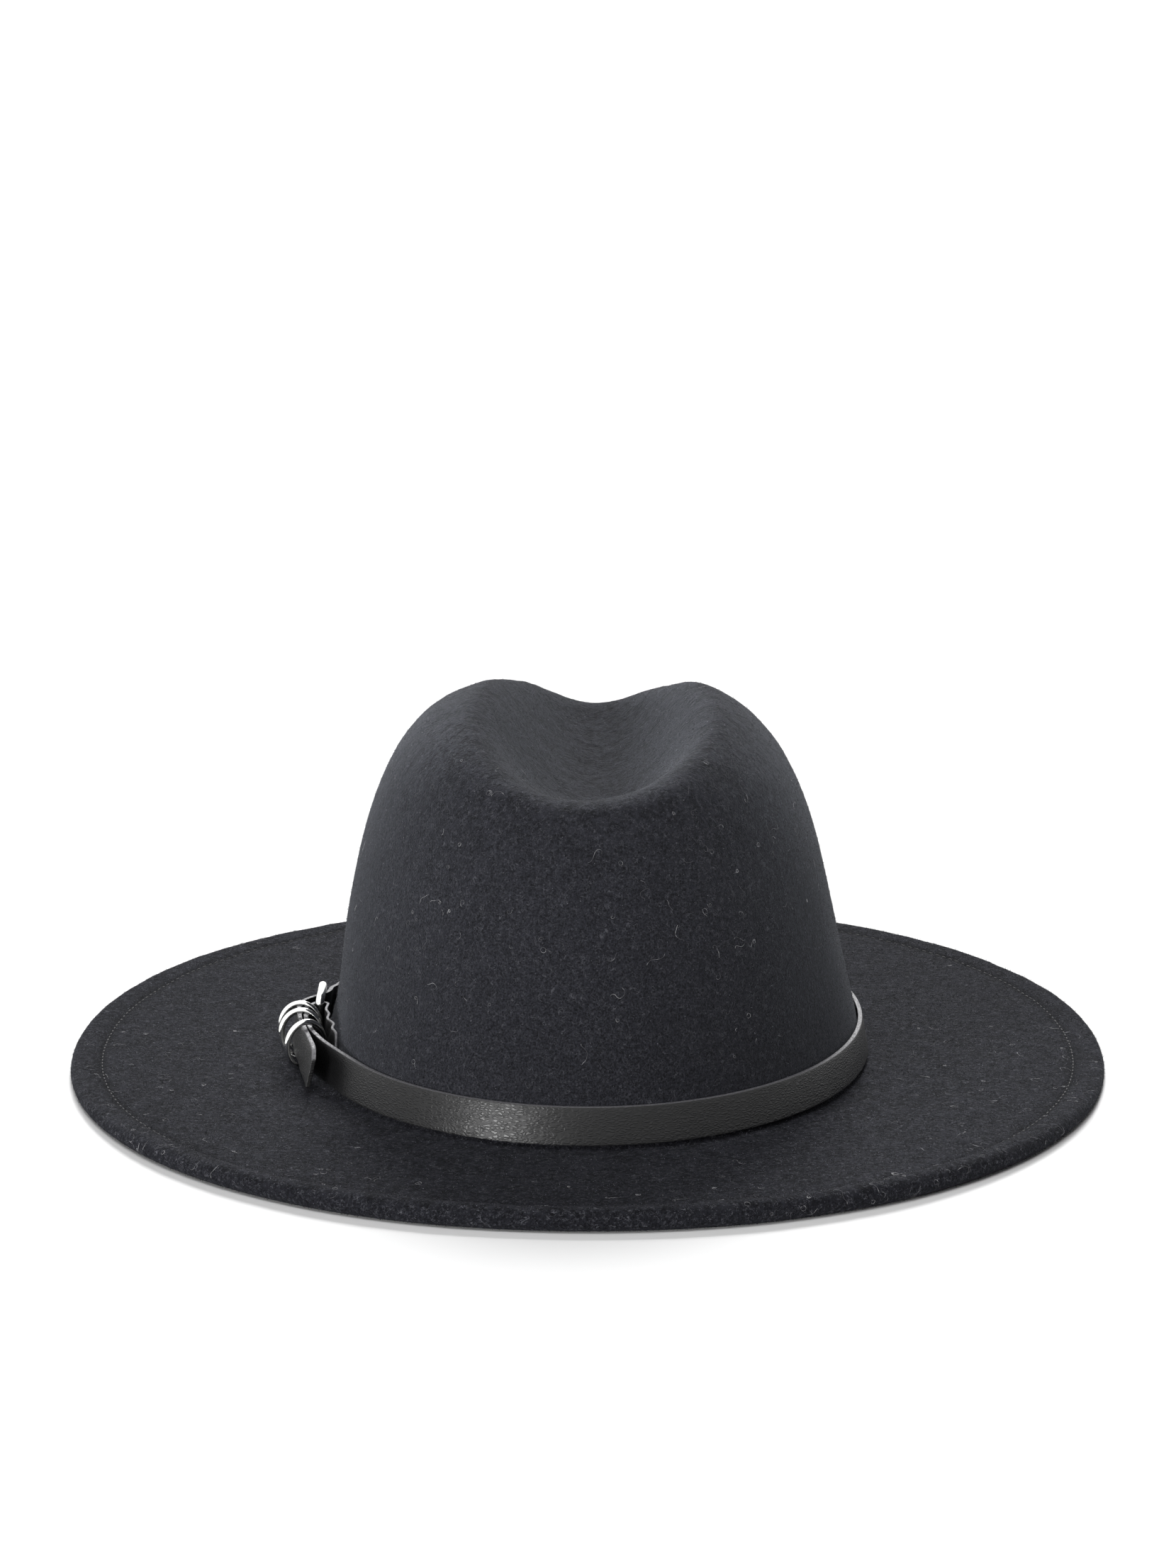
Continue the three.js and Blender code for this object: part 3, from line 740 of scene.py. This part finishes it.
# %% Hem stitches
STITCH_STEP = 3.3 * MM
STITCH_HALF = Vector((1.25, 0.30, 0.24)) * MM
OVAL_STEPS = 1440
ABOVE_BRIM = Vector((0, 0, 20 * MM))
UP, DOWN = Vector((0, 0, 1)), Vector((0, 0, -1))
THREAD_DARK = (0.006, 0.006, 0.007, 1)
THREAD_PALE = (0.016, 0.016, 0.018, 1)
THREAD_SCALE = 1500.0


def oval_point(angle, inset):
    half_x, half_y = BRIM_HALF.x - inset, BRIM_HALF.y - inset
    c, s = math.cos(angle), math.sin(angle)
    reach = (abs(c / half_x) ** BRIM_POWER + abs(s / half_y) ** BRIM_POWER) ** (-1 / BRIM_POWER)
    return Vector((reach * c, reach * s, 0))


def groove_stations():
    ring = [oval_point(2 * math.pi * i / OVAL_STEPS, GROOVE_INSET) for i in range(OVAL_STEPS + 1)]
    total = sum((b - a).length for a, b in zip(ring, ring[1:]))
    step = total / round(total / STITCH_STEP)
    stations, walked = [], 0.0
    for a, b in zip(ring, ring[1:]):
        length = (b - a).length
        while len(stations) * step < walked + length - 1e-9:
            share = (len(stations) * step - walked) / length
            stations.append((a.lerp(b, share), (b - a).normalized()))
        walked += length
    return stations


def make_stitches():
    shape = bmesh.new()
    for place, ahead in groove_stations():
        top = felt_tree.ray_cast(place + ABOVE_BRIM, DOWN)[0]
        grain = bmesh.ops.create_uvsphere(shape, u_segments=6, v_segments=4, radius=1.0)["verts"]
        across = Vector((-ahead.y, ahead.x, 0))
        turn = Matrix((ahead, across, UP)).transposed().to_4x4()
        size = Matrix.Diagonal((*STITCH_HALF, 1))
        bmesh.ops.transform(shape, verts=grain, matrix=Matrix.Translation(top) @ turn @ size)
    return object_from(shape, "hem_stitches")


hem_stitches = make_stitches()
thread = make_hair_look("stitch_thread", THREAD_DARK, THREAD_PALE, THREAD_SCALE)
hem_stitches.data.materials.append(thread)
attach(hem_stitches, "root")
print("stitch triangles:", count_triangles(hem_stitches))

# %% [markdown]
# ## The strap
#
# The strap is cut from finished leather: its outer face is black and grained, and its cut edges
# are paler grey. The solid is a plain bent bar with sharp corners. Bevelling its long edges
# before rounding keeps the corners tight, and every face that looks up or down along the strap
# is a cut edge and gets the paler finish.

# %% Strap shape
EDGE_ROUND = 0.28 * MM
CORNER_ANGLE = math.radians(50)
CUT_FACES_UP = 0.75

# The folded end's top edge waves a little behind the rings. Its reach, heights and wavelength
# are in millimetres.
WAVE_OUTSIDE = -83.5
WAVE_FROM, WAVE_TO = -34.0, -1.0
WAVE_LOW, WAVE_HIGH = 11.0, 16.0
WAVE_DEEP = 0.6 * MM
WAVE_LONG = 12.0

strap_shape = merged_copy("hat_band")
corners = [e for e in strap_shape.edges
           if len(e.link_faces) == 2 and e.calc_face_angle() > CORNER_ANGLE]
bmesh.ops.bevel(strap_shape, geom=corners, offset=EDGE_ROUND, segments=2, profile=0.5,
                affect="EDGES", material=-1)
strap_shape.normal_update()
for face in strap_shape.faces:
    if abs(face.normal.z) > CUT_FACES_UP:
        face.material_index = 1
strap = object_from(strap_shape, "strap")
round_off(strap, 2)
settle(strap)
for v in strap.data.vertices:
    x, y, z = v.co / MM
    if WAVE_OUTSIDE < x < 0 and WAVE_FROM < y < WAVE_TO:
        ends = math.sin(math.pi * (y - WAVE_FROM) / (WAVE_TO - WAVE_FROM))
        rise = share_between(z, WAVE_LOW, WAVE_HIGH)
        v.co.x += WAVE_DEEP * ends * rise * math.sin(2 * math.pi * y / WAVE_LONG)
print("strap triangles:", count_triangles(strap))

# %% [markdown]
# Leather grain is a net of fine creases around small flat cells, stretched along the strap. Cell
# noise gives such a net, but it must follow the strap round the hat. A UV map could carry it,
# but the strap lies almost on a cylinder, so its place can be unrolled in the shader: the angle
# about the crown, times the crown's radius, is the distance along the strap.

# %% Leather material
CROWN_RADIUS = 95 * MM
LEATHER_BLACK = (0.0035, 0.0035, 0.0038, 1)
LEATHER_WORN = (0.0110, 0.0110, 0.0118, 1)
CUT_GREY = (0.105, 0.103, 0.112, 1)
CUT_DARK = (0.045, 0.044, 0.050, 1)

# The cells are longer along the strap, and a noise shifts their edges by about a millimetre.
CELL_STRETCH = (0.42, 1.0, 0.3)
CELL_DRIFT = (0.0011, 0.0016, 0.0)
DRIFT_SCALE = 350.0
CELL_EDGE = 0.32
RIPPLE_SCALE, RIPPLE_SHARE = 2600.0, 0.35
GRAIN_SCALE, WEAR_SCALE, CUT_SCALE = 1500.0, 45.0, 1400.0
LEATHER_ROUGH, LEATHER_SMOOTH = 0.44, 0.30
LEATHER_BUMP, LEATHER_BUMP_DEPTH = 0.75, 0.055 * MM
LEATHER_GLOSS = 0.34
CUT_ROUGH, CUT_SMOOTH = 0.75, 0.5
CUT_BUMP, CUT_BUMP_DEPTH = 0.4, 0.08 * MM


def make_unrolled():
    group, start, end = new_group(
        "unrolled", [("Vector", "NodeSocketVector")], [("Vector", "NodeSocketVector")])
    parts = add_node(group, "ShaderNodeSeparateXYZ", Vector=start.outputs[0])
    x, y, z = parts.outputs[0], parts.outputs[1], parts.outputs[2]
    along = math_node(group, "MULTIPLY", math_node(group, "ARCTAN2", y, x), CROWN_RADIUS)
    squares = [math_node(group, "MULTIPLY", part, part) for part in (x, y)]
    reach = math_node(group, "SQRT", math_node(group, "ADD", *squares))
    joined = add_node(group, "ShaderNodeCombineXYZ", X=along, Y=z, Z=reach)
    group.links.new(joined.outputs[0], end.inputs[0])
    return group


def make_leather_grain():
    group, start, end = new_group(
        "leather_grain", [("Vector", "NodeSocketVector"), ("Scale", "NodeSocketFloat")],
        [("Height", "NodeSocketFloat")])
    vector, scale = start.outputs[0], start.outputs[1]
    stretched = vector_node(group, "MULTIPLY", vector, CELL_STRETCH)
    drift = add_node(group, "ShaderNodeTexNoise", Vector=vector, Scale=DRIFT_SCALE, Detail=2.0)
    push = vector_node(group, "SUBTRACT", drift.outputs["Color"], (0.5, 0.5, 0.5))
    small = vector_node(group, "MULTIPLY", push, CELL_DRIFT)
    warped = vector_node(group, "ADD", stretched, small)
    cells = add_node(group, "ShaderNodeTexVoronoi", {"feature": "DISTANCE_TO_EDGE"},
                     Vector=warped, Scale=scale)
    plateau = ramp_between(group, cells.outputs["Distance"], 0.0, CELL_EDGE)
    ripple = add_node(group, "ShaderNodeTexNoise", Vector=warped, Scale=RIPPLE_SCALE, Detail=3.0)
    summed = math_node(group, "MULTIPLY_ADD", ripple.outputs[0], RIPPLE_SHARE, plateau)
    group.links.new(summed, end.inputs[0])
    return group


unrolled = make_unrolled()
leather_grain = make_leather_grain()


def make_leather():
    material, tree, shader, place = new_material("strap_leather")
    flat = use_group(tree, unrolled, Vector=place)
    grain = use_group(tree, leather_grain, Vector=flat, Scale=GRAIN_SCALE)
    worn = use_group(tree, mottle, Vector=place, Scale=WEAR_SCALE)
    raised = math_node(tree, "MULTIPLY", ramp_between(tree, grain, 0.2, 1.3), worn)
    colour = mixed_colour(tree, raised, LEATHER_BLACK, LEATHER_WORN)
    tree.links.new(colour, shader.inputs["Base Color"])
    rough = ramp_between(tree, grain, 0.1, 1.2, LEATHER_ROUGH, LEATHER_SMOOTH)
    tree.links.new(rough, shader.inputs["Roughness"])
    bumped(tree, shader, grain, LEATHER_BUMP, LEATHER_BUMP_DEPTH)
    shader.inputs["Specular IOR Level"].default_value = LEATHER_GLOSS
    return material


def make_cut_edge():
    material, tree, shader, place = new_material("strap_cut_edge")
    fibres = use_group(tree, mottle, Vector=place, Scale=CUT_SCALE)
    tree.links.new(mixed_colour(tree, fibres, CUT_DARK, CUT_GREY), shader.inputs["Base Color"])
    rough = ramp_between(tree, fibres, 0.0, 1.0, CUT_ROUGH, CUT_SMOOTH)
    tree.links.new(rough, shader.inputs["Roughness"])
    bumped(tree, shader, fibres, CUT_BUMP, CUT_BUMP_DEPTH)
    return material


strap.data.materials.append(make_leather())
strap.data.materials.append(make_cut_edge())
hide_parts("hat_band")
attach(strap, "root")
print("strap looks:", [look.name for look in strap.data.materials])

# %% [markdown]
# ## Wire rings and buckle
#
# The rings and buckle are bent from round wire and plated bright. Their solids are already the
# right loops, only coarse, so they are swollen a little and rounded. Polished plating is never
# quite even: faint smears vary its gloss, and the finest scratches bend its reflections.

# %% Metal material
PLATE_DULL = (0.80, 0.80, 0.78, 1)
PLATE_BRIGHT = (0.90, 0.90, 0.89, 1)
SMEAR_SCALE = 260.0
SCRATCH_SCALE, SCRATCH_WIDTH = 1500.0, 0.02
PLATE_SMOOTH, PLATE_ROUGH = 0.07, 0.16
SCRATCH_BUMP, SCRATCH_DEPTH = 0.15, 0.02 * MM


def make_metal():
    material, tree, shader, place = new_material("polished_wire")
    smear = use_group(tree, mottle, Vector=place, Scale=SMEAR_SCALE)
    scratch = use_group(tree, thin_lines, Vector=place, Scale=SCRATCH_SCALE, Width=SCRATCH_WIDTH)
    colour = mixed_colour(tree, smear, PLATE_DULL, PLATE_BRIGHT)
    tree.links.new(colour, shader.inputs["Base Color"])
    rough = ramp_between(tree, smear, 0.0, 1.0, PLATE_SMOOTH, PLATE_ROUGH)
    tree.links.new(rough, shader.inputs["Roughness"])
    bumped(tree, shader, scratch, SCRATCH_BUMP, SCRATCH_DEPTH)
    shader.inputs["Metallic"].default_value = 1.0
    return material


polished = make_metal()
print("wire look:", polished.name)

# %% Wire pieces
WIRE_LOSS = 0.09 * MM
WIRE_PIECES = {
    "ring_1": "keeper_ring_1",
    "ring_2": "keeper_ring_2",
    "ring_3": "keeper_ring_3",
    "buckle_frame": "buckle_wire",
    "buckle_prong": "buckle_tongue",
}

for node, name in WIRE_PIECES.items():
    wire_shape = merged_copy(node)
    swell(wire_shape, WIRE_LOSS)
    wire = object_from(wire_shape, name)
    round_off(wire, 2)
    wire.data.materials.append(polished)
    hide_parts(node)
    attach(wire, "root")
    print(name, "triangles:", count_triangles(wire))
